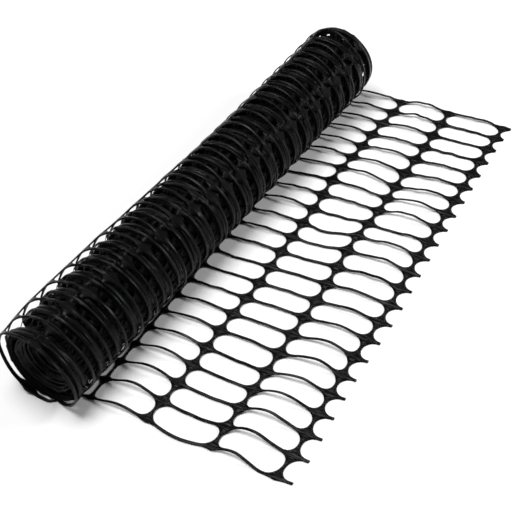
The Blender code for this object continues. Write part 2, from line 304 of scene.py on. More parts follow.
# %% One opening and the outer half of an edge strand
def grid_piece(spokes, rings):
    """A grid bent to follow the spokes, with its underside. Rings are (share, height) pairs."""
    piece = bmesh.new()
    bmesh.ops.create_grid(piece, x_segments=len(spokes) - 1, y_segments=len(rings) - 1, size=1.0)
    piece.verts.index_update()
    places = []
    for vert in piece.verts:
        middle, edge = spokes[vert.index % len(spokes)]
        share, height = rings[vert.index // len(spokes)]
        s = middle[0] + (edge[0] - middle[0]) * share
        w = middle[1] + (edge[1] - middle[1]) * share
        places.append((s, w, height * float(half_thickness(s, w))))
    for vert, place in zip(piece.verts, places):
        vert.co = place
    bmesh.ops.remove_doubles(piece, verts=piece.verts, dist=MERGE)
    whole = piece.verts[:] + piece.edges[:] + piece.faces[:]
    bmesh.ops.mirror(piece, geom=whole, axis="Z", merge_dist=MERGE)
    return piece


def edge_spokes(corner_steps, side_steps, strand_half):
    """Spokes from the middle of the first strand out to the net's edge."""
    spokes = []
    for (s, w), edge in ring_spokes(corner_steps, side_steps, strand_half):
        if w == 0.0 and (not spokes or s > spokes[-1][0][0]):
            off_chain = min(s, CHAIN_PITCH - s)
            bulge = EDGE_KNOT * float(near(off_chain, KNOT_REACH))
            spokes.append(((s, 0.0), (s, -strand_half - bulge)))
    return spokes


FINE_RINGS = [(0.0, 1.0), (0.55, 0.86), (1.0, 0.0)]
PLAIN_RINGS = [(0.0, 1.0), (1.0, 0.0)]
for steps, rings in ((FINE_STEPS, FINE_RINGS), (PLAIN_STEPS, PLAIN_RINGS)):
    sample = grid_piece(ring_spokes(*steps, STRAND_HALF), rings)
    print("faces round one opening:", len(sample.faces))
    sample.free()

# %% [markdown]
# ## Copying the opening
#
# Array modifiers copy the opening along the net and across it, and merge the copies where they
# meet. The two edges get half a strand more. Then bisect_plane cuts the net to length across
# its strands, and holes_fill closes the small cut faces, so the net is one closed skin. The
# net on the floor is seen from close by, so its openings have more spokes than the wound ones.


# %% A flat length of net
MOST_SIDES = 16  # a cut through a strand has fewer sides than this


def as_mesh(name, work):
    """A mesh made of a bmesh, which is freed."""
    data = bpy.data.meshes.new(name)
    work.to_mesh(data)
    work.free()
    return data


def repeated(piece, columns, rows):
    """The mesh of one piece copied along s and across w."""
    tile = add_object("tile", as_mesh("tile", piece))
    for count, offset in ((columns, (CHAIN_PITCH, 0.0, 0.0)), (rows, (0.0, ROW_PITCH, 0.0))):
        copies = tile.modifiers.new("copies", "ARRAY")
        copies.count = count
        copies.use_relative_offset = False
        copies.use_constant_offset = True
        copies.constant_offset_displace = offset
        copies.use_merge_vertices = True
        copies.merge_threshold = MERGE
    bpy.context.view_layer.update()
    graph = bpy.context.evaluated_depsgraph_get()
    result = bpy.data.meshes.new_from_object(tile.evaluated_get(graph))
    bpy.data.objects.remove(tile)
    return result


def cut_across(net, place, direction):
    """Cut the net across its strands and close the cut faces."""
    geometry = net.verts[:] + net.edges[:] + net.faces[:]
    bmesh.ops.bisect_plane(
        net, geom=geometry, dist=MERGE / 10, plane_co=place, plane_no=direction, clear_outer=True
    )
    open_edges = [edge for edge in net.edges if len(edge.link_faces) == 1]
    bmesh.ops.holes_fill(net, edges=open_edges, sides=MOST_SIDES)


def flat_net(steps, strand_half, rings, columns, rows):
    """Net from one column to another, and from one row of strands to another."""
    count = columns[1] - columns[0]
    openings = grid_piece(ring_spokes(*steps, strand_half), rings)
    net = bmesh.new()
    net.from_mesh(repeated(openings, count, rows[1] - rows[0]))
    bmesh.ops.translate(net, verts=net.verts, vec=(0.0, rows[0] * ROW_PITCH, 0.0))
    for row, side in ((rows[0], 1.0), (rows[1], -1.0)):
        strip = repeated(grid_piece(edge_spokes(*steps, strand_half), rings), count, 1)
        strip.transform(Matrix.Diagonal((1.0, side, 1.0, 1.0)))
        strip.transform(Matrix.Translation((0.0, row * ROW_PITCH, 0.0)))
        net.from_mesh(strip)
    bmesh.ops.remove_doubles(net, verts=net.verts, dist=MERGE)
    bmesh.ops.translate(net, verts=net.verts, vec=(columns[0] * CHAIN_PITCH, 0.0, 0.0))
    return net


sample = flat_net(PLAIN_STEPS, STRAND_HALF, PLAIN_RINGS, (0, 2), (0, 3))
print("faces of 2 by 3 openings:", len(sample.faces))
sample.free()

# %% [markdown]
# ## Winding the net
#
# On the floor the net is a plane with low arches. Past the line that the roll rests on it turns
# up and goes round and round. How far a turn has gone round depends on how far it stands from
# the roll's middle, so the angle is added up in small steps along the winding, once for a few
# lines across the net. Any point then takes its angle from between two of these lines.

# %% The loose turn
TURN_CLEARANCE = 1.6 * MM  # middle of the outermost turn over the roll
TURN_SAG = 3.5 * MM  # it stands this much further off at the foot
SAG_END = radians(60)
LOOSEST_CHAIN = 5  # this chain stands off most, and it is tilted
BEFORE_CHAIN = radians(5)  # the gap is widest this much before it
GAP_SHARE = 0.6  # the mean of the gap up to there, as a share of the widest
FALL = radians(36)  # the gap closes over this much of a turn


def roll_radius(y):
    """The roll is a little thicker at its far end."""
    share = np.clip((y - ROLL_NEAR_Y) / ROLL_LENGTH, 0.0, 1.0)
    return ROLL_RADIUS_NEAR + (ROLL_RADIUS_FAR - ROLL_RADIUS_NEAR) * share


def loose_gap(angle, y, w):
    """How far the outermost turn stands off the roll."""
    gap = table_value(STAND_OFF, "gap", w)
    travel = LOOSEST_CHAIN * CHAIN_PITCH * cos(SKEW) + w * sin(SKEW) - FOOT_DISTANCE
    peak = travel / (roll_radius(y) + TURN_CLEARANCE + GAP_SHARE * gap) - BEFORE_CHAIN
    rise = smooth(angle / peak) * (1 - smooth((angle - peak) / FALL))
    sag = TURN_SAG * (1 - smooth(angle / SAG_END))
    return TURN_CLEARANCE + sag + gap * rise


print("radius half-way along, mm:", round(float(roll_radius(0.0) / MM), 1))

# %% Bulges under the loose turn and beside the foot
TURN_CLOSE = radians(165)  # from here on, the loose turn closes in on the roll
BULGE = 9 * MM  # the turns under the outermost bulge less, on the same side
BULGE_PEAK = radians(112)
BULGE_TURNS = 2.5  # it fades over this many turns
BULGE_TO = 0.75  # the bulge ends here, as a share of the net's width
BULGE_FADE = 0.4
EDGE_BULGE = 8 * MM  # the bulge at the near edge
EDGE_WIDTH = 0.12  # width of that edge, as a share of the net's width
EDGE_TURNS = 0.4  # the same for that bulge
FOOT_BULK_NEAR = 6 * MM  # the turns lie fuller on the side that faces the loose end
FOOT_BULK_FAR = 3.4 * MM
FOOT_TURNS = 12.0
FOOT_LOOSE = 1 * MM  # the outermost turn stands off a little more there
FOOT_LOOSE_TURNS = 0.2
FOOT_NEAR_WIDTH = 0.45  # width of the near part, as a share of the net's width
FOOT_FROM = radians(215)
FOOT_FULL = radians(285)
FOOT_TO = radians(352)


def side_bulge(turn, under, w):
    """How far the turns under the loose one bulge towards it."""
    side = smooth(turn / BULGE_PEAK)
    side = side * smooth((TURN_CLOSE - turn) / (TURN_CLOSE - BULGE_PEAK))
    loose = smooth((BULGE_TO - w / WIDTH) / BULGE_FADE)
    body = EDGE_BULGE + (BULGE - EDGE_BULGE) * smooth(w / WIDTH / EDGE_WIDTH)
    edge = (BULGE - body) * np.exp(-under / EDGE_TURNS)
    return side * loose * (body * np.exp(-under / BULGE_TURNS) + edge)


def foot_share(turn):
    """1 beside the roll's foot, on the side that faces the loose end."""
    rise = smooth((turn - FOOT_FROM) / (FOOT_FULL - FOOT_FROM))
    return rise * smooth((FOOT_TO - turn) / (FOOT_TO - FOOT_FULL))


def foot_bulk(turn, under, w):
    """How much fuller the turns lie beside the foot."""
    near_part = 1 - smooth(w / WIDTH / FOOT_NEAR_WIDTH)
    bulk = FOOT_BULK_FAR + (FOOT_BULK_NEAR - FOOT_BULK_FAR) * near_part
    bulk = bulk * np.exp(-under / FOOT_TURNS)
    bulk = bulk + FOOT_LOOSE * near_part * np.exp(-under / FOOT_LOOSE_TURNS)
    return bulk * foot_share(turn)


print("largest bulge beside the foot, mm:", foot_bulk(FOOT_FULL, 0.0, 0.0) / MM)

# %% Distance from the roll's middle
FRAY = 8 * MM  # the far edge of the outer turns springs off
FRAY_EDGE = 0.955  # from here on, as a share of the net's width
FRAY_FROM = radians(140)
FRAY_TO = radians(280)
FRAY_RAMP = 0.7  # in radians
FRAY_TURNS = 0.35  # it fades over this many turns
UNDER_TURN = -0.3 * MM  # the next turn lies this far inside the roll's surface
SECOND_PITCH = 1.8 * MM  # and the one under it this much further
SECOND_FROM = 0.2  # that starts this many turns in
TURN_PITCH = 0.5 * MM  # from one turn to the next


def frayed_edge(turn, under, w):
    """How far the far edge of the outer turns springs off."""
    edge = smooth((w / WIDTH - FRAY_EDGE) / (1 - FRAY_EDGE))
    side = smooth((turn - FRAY_FROM) / FRAY_RAMP)
    side = side * smooth((FRAY_TO - turn) / FRAY_RAMP)
    return FRAY * edge * side * np.exp(-under / FRAY_TURNS)


def turn_reach(angle, y, w):
    """Distance of the net's middle from the roll's middle, after some turns."""
    turn = angle % (2 * pi)
    under = np.clip(angle / (2 * pi) - 1.0, 0.0, None)
    tuck = smooth((angle - TURN_CLOSE) / (2 * pi - TURN_CLOSE))
    inward = UNDER_TURN + SECOND_PITCH * smooth(under - SECOND_FROM) + TURN_PITCH * under
    inward = inward - side_bulge(turn, under, w)
    reach = roll_radius(y) + loose_gap(angle, y, w) * (1 - tuck) - inward * tuck
    return reach + foot_bulk(turn, under, w) + frayed_edge(turn, under, w)


reach = turn_reach(np.array([pi, 3 * pi]), 0.0, WIDTH / 2)
print("two turns over the middle of the roll, mm:", (reach / MM).round(1))

# %% Angles along the winding
CHAINS_ROUND = 4  # chains of knots that go round the roll once
FIRST_DRIFT = 15 * MM  # the second turn's chains fall this far short of the first's
CHAIN_DRIFT = 8.2 * MM  # the same from there on
DRIFT_FROM = radians(205)
DRIFT_FULL = radians(280)
DRIFT_EVEN = radians(565)
PATH_STEP = 3 * MM
WOUND_LENGTH = 9.0  # in metres, and more than the whole net that is wound
LINES = 12


def winding_angles(length):
    """Angle reached at each step of travel, for each line across the net."""
    lines_w = np.linspace(0.0, WIDTH, LINES)
    lines_y = ROLL_NEAR_Y + lines_w / WIDTH * ROLL_LENGTH
    first_radius = (CHAINS_ROUND * CHAIN_PITCH + FIRST_DRIFT) / (2 * pi)
    even_radius = (CHAINS_ROUND * CHAIN_PITCH + CHAIN_DRIFT) / (2 * pi)
    drift_ramp = DRIFT_FULL - DRIFT_FROM
    angle = np.zeros(LINES)
    angles = [angle]
    for step in range(int(ceil(length / PATH_STEP))):
        wound = smooth((angle - DRIFT_FROM) / drift_ramp)
        even = smooth((angle - DRIFT_EVEN) / drift_ramp + 0.5)
        reach = turn_reach(angle, lines_y, lines_w)
        drift_radius = first_radius + (even_radius - first_radius) * even
        angle = angle + PATH_STEP / (reach + (drift_radius - reach) * wound)
        angles.append(angle)
    return np.array(angles)


ANGLES = winding_angles(WOUND_LENGTH)
print("turns in that length:", round(float(ANGLES[-1].mean() / (2 * pi)), 1))


def angle_at(travel, w):
    """Angle round the roll at a length of travel past its foot."""
    step = np.clip(travel / PATH_STEP, 0.0, len(ANGLES) - 1.001)
    line = np.clip(w / WIDTH * (LINES - 1), 0.0, LINES - 1.001)
    s0 = step.astype(int)
    l0 = line.astype(int)
    fs = step - s0
    fl = line - l0
    near_line = ANGLES[s0, l0] * (1 - fs) + ANGLES[s0 + 1, l0] * fs
    far_line = ANGLES[s0, l0 + 1] * (1 - fs) + ANGLES[s0 + 1, l0 + 1] * fs
    return near_line * (1 - fl) + far_line * fl


# %% [markdown]
# The rows of neighbouring turns lie almost over each other. They miss by a few millimetres,
# which is why the photograph shows bands of two or three strands side by side with dark gaps
# between the bands. Each turn is shifted along the roll by its own amount, and smooth noise
# moves the strands within it. The factors in a call of the noise say how soon it changes along
# the net and across it, and the last number keeps one noise apart from another.

# %% Helpers for the whole net
LOOSE_LAST = 8.5  # the loose net ends half-way between two chains
FLAT_TILL = (2.5, 0.5)  # the net lies flat up to this chain, and less over this ramp
FOOT_TILL = (3.3, 0.5)  # it lies on the floor up to this one
NOISE_GAIN = 1.6  # Blender's noise is weaker than this lesson needs
FOOT_CHAIN = (3.0, 0.3)  # the chain beside the roll's foot, and how far that part reaches


def smooth_noise(a, b, c):
    """Noise, mostly between -1 and 1, for arrays of places."""
    return np.array([noise.noise(Vector(place)) for place in zip(a, b, c)]) * NOISE_GAIN


def midway(w, power):
    """1 half-way between two rows of strands and 0 on them. A higher power is narrower."""
    return (0.5 - 0.5 * np.cos(2 * pi * w / ROW_PITCH)) ** power


def foot_chain(chain):
    """1 at the chain of knots that lies beside the roll's foot."""
    return near(chain - FOOT_CHAIN[0], FOOT_CHAIN[1])


def up_to(place, last, ramp):
    """1 up to a chain or turn, falling to 0 past it."""
    return 1 - smooth((place - last) / ramp)


print("noise at one place:", smooth_noise([0.3], [0.2], [0.1]).round(2))

# %% [markdown]
# The knots and strands of the loose net aren't all alike. The strands are wider towards the far
# edge, and they are widest where they are pressed flat on the roll. Beside the roll's foot,
# where the net turns up, they are narrower. The chains are drawn thin half-way between their
# knots, and two of them less so.

# %% Widths of strands and chains
WIDEN_NEAR = 0.8 * MM  # how much wider a strand is at the near edge
WIDEN_FAR = 2.8 * MM  # and at the far edge
WIDEN = 3.7 * MM  # and in the wound turns
WOUND_FROM = (7.6, 0.6)  # those start at this chain, over this ramp
FOOT_NARROW = 2.2 * MM  # how much narrower it is beside the roll's foot
TAPER = 0.9 * MM  # strands on the floor are narrower just past their knots
TAPER_FROM_CHAIN = 18 * MM
TAPER_REACH = 7 * MM
SLIM_FLOOR = 0.2  # share of its width that a chain loses on the floor
SLIM_LOOSE = 0.55  # in the loose turn and the first turns under it
LOOSE_FROM = (3.5, 1.0)  # those start at this chain, over this ramp
SLIM_DEEP = 0.25  # in the turns under those
DEEP_FROM = (12.0, 6.0)
SLIM_REACH = 14 * MM
SLIM_POWER = 1.6
FIFTH_KEPT = 0.7  # chain 5 keeps this share of what the others lose
SEVENTH_KEPT = 0.9  # and chain 7 this
KEPT_REACH = 0.4
NEAR_SLIM = 0.1  # share of its width that a knot loses at the near edge
FOOT_SLIM = 0.45  # and beside the roll's foot
KNOT_SLIM_REACH = 24 * MM


def widened(s, w):
    """Place across the net after its strands are made wider or narrower."""
    chain = s / CHAIN_PITCH
    flatter = np.maximum(w / WIDTH, 1 - up_to(chain, *FOOT_TILL))
    growth = WIDEN_NEAR + (WIDEN_FAR - WIDEN_NEAR) * flatter
    growth = growth + (WIDEN - growth) * (1 - up_to(chain, *WOUND_FROM))
    growth = growth - FOOT_NARROW * foot_chain(chain)
    taper = near(np.abs(off_nearest(s, CHAIN_PITCH)) - TAPER_FROM_CHAIN, TAPER_REACH)
    growth = growth - TAPER * taper * up_to(chain, *FLAT_TILL)
    return w + growth * np.sin(2 * pi * w / ROW_PITCH)


def slimmed(s, w):
    """Place along the net after its chains and knots are made narrower."""
    chain = s / CHAIN_PITCH
    off_chain = off_nearest(s, CHAIN_PITCH)
    kept = SEVENTH_KEPT * near(chain - 7.0, KEPT_REACH) + FIFTH_KEPT * near(chain - 5.0, KEPT_REACH)
    slim = SLIM_LOOSE * (1 - up_to(chain, *LOOSE_FROM)) * (1 - kept)
    slim = slim + (SLIM_DEEP - SLIM_LOOSE) * (1 - up_to(chain, *DEEP_FROM))
    slim = slim + SLIM_FLOOR * up_to(chain, *FLAT_TILL)
    s = s - slim * off_chain * midway(w, SLIM_POWER) * near(off_chain, SLIM_REACH)
    knot_slim = NEAR_SLIM * (1 - w / WIDTH) * up_to(chain, *FOOT_TILL)
    knot_slim = knot_slim + (FOOT_SLIM - knot_slim) * foot_chain(chain)
    return s - knot_slim * off_chain * near(off_chain, KNOT_SLIM_REACH)


growth = (widened(0.5, STRAND_HALF) - STRAND_HALF) / MM
print("an edge of a strand moves by, mm:", growth.round(2))

# %% [markdown]
# Next come the pulls, the bows and some slight kinks of the net on the floor. A bow that goes up
# lifts its strand off the floor and moves it a little to the far side. A bow the other way only
# moves the strand to the near side, because it can't go down.

# %% Pulls and bows
PULL_REACH = 0.58  # a pull reaches this far along the net, in chains
BOW_START = 6 * MM  # a bow starts this far from the middle of a chain
BOW_POWER = 1.2  # 1 would make a bow half a sine wave
BOW_LIFT = 0.6  # share of a bow that lifts the strand off the floor


def pulled(s, w):
    """Place along the net and place across it after the pulls."""
    shift_s = np.zeros_like(s)
    shift_w = np.zeros_like(s)
    for pull in PULLS:
        chains_off = (s / CHAIN_PITCH - pull["chain"]) / PULL_REACH
        rows_off = (w / ROW_PITCH - pull["row"]) / pull["reach"]
        share = np.exp(-(rows_off**2) - chains_off**2)
        shift_s += pull["ds"] * share
        shift_w += pull["dw"] * share
    return s + shift_s * MM, w + shift_w * MM


def bowed(s, w):
    """How far the strands on the floor bow between two chains."""
    place = np.clip(s / CHAIN_PITCH, 0.0, LOOSE_CHAINS - 1.0)
    row = w / ROW_PITCH
    share = ((place % 1.0) * CHAIN_PITCH - BOW_START) / (CHAIN_PITCH - 2 * BOW_START)
    share = np.clip(share, 0.0, 1.0)
    hump = np.sin(pi * share) ** BOW_POWER
    bows = [table_value(BOWS, name, row) * hump for name in ("first", "second", "third")]
    bows[0] = bows[0] - table_value(BOWS, "lean", row) * np.sin(2 * pi * share)
    return np.where(place < 1.0, bows[0], np.where(place < 2.0, bows[1], bows[2]))


def floor_height(s, w):
    """Height of the loose net's underside over the floor."""
    place = np.clip(s / CHAIN_PITCH, 0.0, LOOSE_CHAINS - 1.0)
    knots = np.interp(place, range(LOOSE_CHAINS), KNOT_HEIGHTS) * MM
    return knots + BOW_LIFT * np.maximum(bowed(s, w), 0.0)


tops = floor_height(np.array([0.5, 1.5, 2.5]) * CHAIN_PITCH, np.full(3, 2 * ROW_PITCH))
print("heights in the third row, mm:", (tops / MM).round(1))

# %% Kinks, and the net as it was pulled out
BOW_ASIDE = 0.3  # share of a bow that moves the strand to the far side
BOW_BACK = 0.75  # share of a bow the other way, which lies on the floor
KINK_NEAR = 0.5 * MM  # size of the kinks at the near edge
KINK_FAR = 2.6 * MM  # and at the far edge
KINK_REACH = 22 * MM  # how far they are apart, about
KINK_START = 16 * MM  # kinks start this far from the middle of a chain
KINK_RAMP = 14 * MM
KINK_TILL = (3.0, 0.6)  # they end at this chain, over this ramp


def kinks(s, w):
    """How far the strands on the floor kink aside, the same over the width of a strand."""
    row = np.round(w / ROW_PITCH)
    off_chain = np.abs(off_nearest(s, CHAIN_PITCH))
    between = smooth((off_chain - KINK_START) / KINK_RAMP)
    size = KINK_NEAR + (KINK_FAR - KINK_NEAR) * w / WIDTH
    size = size * between * up_to(s / CHAIN_PITCH, *KINK_TILL)
    return size * smooth_noise(s / KINK_REACH, row * 7.3, row * 0.0)


def worked(s, w):
    """The flat net as it was pulled out: place along it and place across it."""
    wide = np.where(s < LOOSE_LAST * CHAIN_PITCH, widened(s, w), w)
    new_s, new_w = pulled(slimmed(s, w), wide)
    bow = bowed(s, w)
    aside = BOW_ASIDE * np.maximum(bow, 0.0) + BOW_BACK * np.minimum(bow, 0.0)
    return new_s, new_w + kinks(s, w) + aside


pulled_s = worked(np.array([CHAIN_PITCH]), np.array([11.0 * ROW_PITCH]))[0]
print("a knot of the second chain moves by, mm:", ((pulled_s - CHAIN_PITCH) / MM).round(1))

# %% [markdown]
# On the roll the net slides towards the near end, and each turn lies a little further along than
# the next. The turns that are wound tight sink in between two rows of strands, because nothing
# holds a thin chain up there.

# %% Slides, shifts and sinking
SHIFT_FROM = 0.78  # the shifts of the turns start after this many turns
SHIFT_RAMP = 4.5
SHIFT_MIDDLE = 15 * MM  # mean shift of a turn
SHIFT_SPREAD = 6.5 * MM  # give or take this much
SHIFT_WAVE = (4.4, 3.73)  # phase for each turn, and phase at the start
EDGE_SHIFT = 9 * MM  # the near edges of the turns are shifted less by this much
EDGE_SHIFT_REACH = 0.6  # that holds this far from the edge, in rows
EDGE_KEPT = 0.1  # share of its stray that the near edge doesn't make
EDGE_KEPT_REACH = 0.8
EDGE_KEPT_TILL = (5.0, 0.6)  # up to this chain, and less over this ramp
EDGE_LEAN_REACH = 0.7  # the lean starts this far from the edge, in rows
GRIP_FROM = 0.42  # the net lies against the roll after this many turns
GRIP_RAMP = 6.0
WANDER = 3.2 * MM  # strands that lie there wander along the roll by this much
LIFT = 1.1 * MM  # and in and out by this much
SINK = 9 * MM  # a chain sinks this far between two rows of strands
SINK_LEAST = 8 * MM  # and this far in the outer turns
SINK_TILL = (1.5, 4.0)  # those are this many turns, and the ramp is this long
SINK_RAMP = 8.0
SINK_POWER = 2.6
FOOT_EVEN = 0.92  # beside the roll's foot it sinks less by this share


def strayed(chain, w):
    """How far the net has slid towards the near end of the roll."""
    row = w / ROW_PITCH
    at_near = table_value(STRAYS, "near", chain)
    at_far = table_value(STRAYS, "far", chain)
    stray = at_near + (at_far - at_near) * w / WIDTH
    edge = near(row, EDGE_KEPT_REACH) * up_to(chain, *EDGE_KEPT_TILL)
    stray = stray * (1 - EDGE_KEPT * edge)
    lean = table_value(STRAYS, "lean", chain) * (1 - w / WIDTH)
    return stray + lean * (1 - near(row, EDGE_LEAN_REACH))


def shifted(turns, row):
    """How far each turn is shifted along the roll, and how its strands wander."""
    shift = SHIFT_MIDDLE + SHIFT_SPREAD * np.sin(SHIFT_WAVE[0] * turns + SHIFT_WAVE[1])
    shift = shift - EDGE_SHIFT * near(row, EDGE_SHIFT_REACH)
    wander = WANDER * smooth_noise(turns * 2.6, row * 0.55, turns * 0.3)
    gripped = smooth((turns - GRIP_FROM) * GRIP_RAMP)
    return smooth((turns - SHIFT_FROM) * SHIFT_RAMP) * shift + gripped * wander


def sunk(turns, w):
    """How far the chains of the wound turns sink towards the roll's middle, less their lift."""
    depth = SINK_LEAST + (SINK - SINK_LEAST) * (1 - up_to(turns, *SINK_TILL))
    depth = depth * smooth((turns - GRIP_FROM) * SINK_RAMP) * midway(w, SINK_POWER)
    depth = depth * (1 - FOOT_EVEN * foot_share(turns * 2 * pi % (2 * pi)))
    lift = LIFT * smooth_noise(turns * 3.1, w / ROW_PITCH * 0.8, turns * 0.3 + 9.0)
    return depth - smooth((turns - GRIP_FROM) * GRIP_RAMP) * lift


slid = strayed(np.array([4.0]), np.array([WIDTH / 2]))
print("chain 4 has slid half-way along by, mm:", (slid / MM).round(1))

# %% Place of a point of the net
SQUARE_CHAIN = 8  # from this chain on, the net is wound square
CREEP = 5 * MM  # strands wander along the winding by this much
CREEP_FROM = 5.0  # from this chain on
LOWEST = 2.4 * MM  # the wound turns stay this far over the floor
PRESSED = 0.5  # the wound turns have this share of their thickness


def net_place(flat):
    """Places in the room of points of the flat net, given as rows of s, w and height."""
    s, w = worked(flat[:, 0], flat[:, 1])
    height = flat[:, 2]
    thick = half_thickness(flat[:, 0], flat[:, 1])
    chain = s / CHAIN_PITCH
    row = w / ROW_PITCH
    creep = CREEP * smooth(chain - CREEP_FROM)
    creep = creep * smooth_noise(chain * 0.9, row * 0.9, chain * 0.1 + 4.0)
    travel = s * cos(SKEW) + w * sin(SKEW) - FOOT_DISTANCE + creep
    askew = np.minimum(s, SQUARE_CHAIN * CHAIN_PITCH) * sin(SKEW)
    angle = angle_at(np.maximum(travel, 0.0), w)
    turns = angle / (2 * pi)
    y = FIRST_KNOT[1] - askew + w * cos(SKEW) - strayed(chain, w) + shifted(turns, row)
    reach = turn_reach(angle, y, w) - sunk(turns, w) - height
    surface = roll_radius(y)
    share = smooth((reach - BORE_RADIUS) / (surface - BORE_RADIUS))
    middle = BORE_Z + (surface + SETTLE - BORE_Z) * share
    lowest = np.where(turns < 0.5, thick, LOWEST) + height
    round_z = np.maximum(middle - reach * np.cos(angle), lowest)
    floor_z = floor_height(flat[:, 0], flat[:, 1]) + thick + height
    on_floor = travel <= 0.0
    x = ROLL_X - np.where(on_floor, travel, reach * np.sin(angle))
    return np.stack([x, y, np.where(on_floor, floor_z, round_z)], axis=1)


def packed_place(flat):
    """The wound turns are pressed thin, so a turn lies close on the next."""
    return net_place(flat * np.array([1.0, 1.0, PRESSED]))


sample = net_place(np.array([[6.0 * CHAIN_PITCH, WIDTH / 2, 0.0]]))
print("a point of chain 6, mm:", (sample[0] / MM).round())

# %% [markdown]
# ## Making a piece of net
#
# The last helper turns a flat length of net into a finished object. Before the points move, it
# writes a UV map with s and w in metres, so the material can follow the plastic along its
# strands, and an attribute that says how near a point is to a knot. Where the net looks dark,
# the faces take the second material of the two, which is rougher, less glossy and has darker
# grain: it paints the shade deep in the roll and in the sunken chains, and it damps the
# highlight on the knots on top of the roll.


# %% From flat net to object
KNOT_SHADE = 12 * MM  # how far a knot's plain plastic reaches
SHADE_DULL_FROM = 21.0  # from this chain on, all of the net takes the darker plastic that paints shade
WAIST_SHADE_DULL_FROM = 12.5  # from this one on, it takes it this far from its strands, where the sunken chains lie in shade
SHADE_DULL_ROW = 9 * MM
TOP_CHAIN = 6  # the knots on top of the roll take the darker plastic over this reach, which damps their highlight
TOP_REACH = (14.0 * MM, 11.0 * MM)


def knot_share(s, w):
    """1 at a knot, falling off along its strands and its chain."""
    return near(off_nearest(s, CHAIN_PITCH), KNOT_SHADE) * near(off_nearest(w, ROW_PITCH), KNOT_SHADE)


def read_all(items, key, count, kind):
    """One property of all points, corners or faces, with a count of numbers for each."""
    values = np.empty(len(items) * count, dtype=kind)
    items.foreach_get(key, values)
    return values


def dull_shade_faces(data, flat, corners):
    """For each face, 1 if it takes the second material, which is duller and has darker grain: painted
    shade in the roll's recesses and a damped highlight on its top knots.
    """
    starts = read_all(data.polygons, "loop_start", 1, int)
    counts = read_all(data.polygons, "loop_total", 1, int)
    centre = np.add.reduceat(flat[corners], starts) / counts[:, None]
    off_row = np.abs(off_nearest(centre[:, 1], ROW_PITCH))
    off_top = np.abs(centre[:, 0] - TOP_CHAIN * CHAIN_PITCH)
    shade_mask = (centre[:, 0] > WAIST_SHADE_DULL_FROM * CHAIN_PITCH) & (off_row > SHADE_DULL_ROW)
    shade_mask = shade_mask | (centre[:, 0] > SHADE_DULL_FROM * CHAIN_PITCH)
    shade_mask = shade_mask | ((off_top < TOP_REACH[0]) & (off_row < TOP_REACH[1]))
    return shade_mask.astype(np.int32)


def net_object(name, net, place, partly_dull_shade):
    """A finished piece, made of a flat length of net and a function that places its points."""
    bmesh.ops.recalc_face_normals(net, faces=net.faces)
    data = as_mesh(name, net)
    flat = read_all(data.vertices, "co", 3, float).reshape(-1, 3)
    corners = read_all(data.loops, "vertex_index", 1, int)
    layer = data.uv_layers.new(name="along and across")
    layer.uv.foreach_set("vector", flat[corners, :2].astype(np.float32).ravel())
    knots = data.attributes.new("knot", "FLOAT", "POINT")
    knots.data.foreach_set("value", knot_share(flat[:, 0], flat[:, 1]).astype(np.float32))
    data.vertices.foreach_set("co", place(flat).ravel())
    data.shade_smooth()
    # faces in shade and the knots on top of the roll take the darker second plastic: painted shade
    if partly_dull_shade:
        data.polygons.foreach_set("material_index", dull_shade_faces(data, flat, corners))
    data.update()
    piece = add_object(name, data)
    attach(piece, "root")
    print(name, "faces:", len(data.polygons))
    return piece


print("5 mm from a knot it is still a knot by:", knot_share(5.0 * MM, 0.0).round(2))

# %% The loose end and the outermost turn
CUT_NEAR = 30 * MM  # the cut end is this far before the first chain, at the near edge
CUT_FAR = 17 * MM  # and at the far edge
BACK = Vector((-1.0, 0.0, 0.0))
ONWARD = Vector((1.0, 0.0, 0.0))
loose = flat_net(FINE_STEPS, STRAND_HALF, FINE_RINGS, (-1, 9), (0, ROWS - 1))
cut_slope = Vector((-WIDTH, CUT_NEAR - CUT_FAR, 0.0)).normalized()
cut_across(loose, Vector((-CUT_NEAR, 0.0, 0.0)), cut_slope)
cut_across(loose, ONWARD * LOOSE_LAST * CHAIN_PITCH, ONWARD)
loose_net = net_object("loose_net", loose, net_place, True)
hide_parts("loose_end", "loose_turn")

# %% The wound turns
WOUND_LAST = 76
wound = flat_net(PLAIN_STEPS, WOUND_HALF, PLAIN_RINGS, (8, WOUND_LAST), (0, ROWS - 1))
cut_across(wound, ONWARD * LOOSE_LAST * CHAIN_PITCH, BACK)
cut_across(wound, ONWARD * (WOUND_LAST - 0.5) * CHAIN_PITCH, ONWARD)
wound_net = net_object("wound_net", wound, packed_place, True)
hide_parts("wound_roll")

# %% [markdown]
# ## The inside of the roll
#
# A real roll has over a hundred turns. The outer ones show everywhere, but further in only the
# edges show, at the two ends. So the inner turns are modelled two openings wide, and what lies
# between them is one packed body with the bore through it, ridged like the rows of strands.

# %% Inner turns at both ends
INNER_PITCH = 1.4 * MM  # coarser than in a real roll
INNER_START = 61 * MM  # radius of the first inner turn at the near end
INNER_END = BORE_RADIUS + 2.0 * MM
INNER_BACK = 6 * MM  # the edges lie this far inside the end of the roll
INNER_WAVE = 4 * MM  # give or take this much
INNER_PHASE = 1.9  # of that wave, for each turn


def inner_start(near_end):
    """Radius of the first inner turn, which is larger at the far end."""
    return INNER_START if near_end else INNER_START + ROLL_RADIUS_FAR - ROLL_RADIUS_NEAR


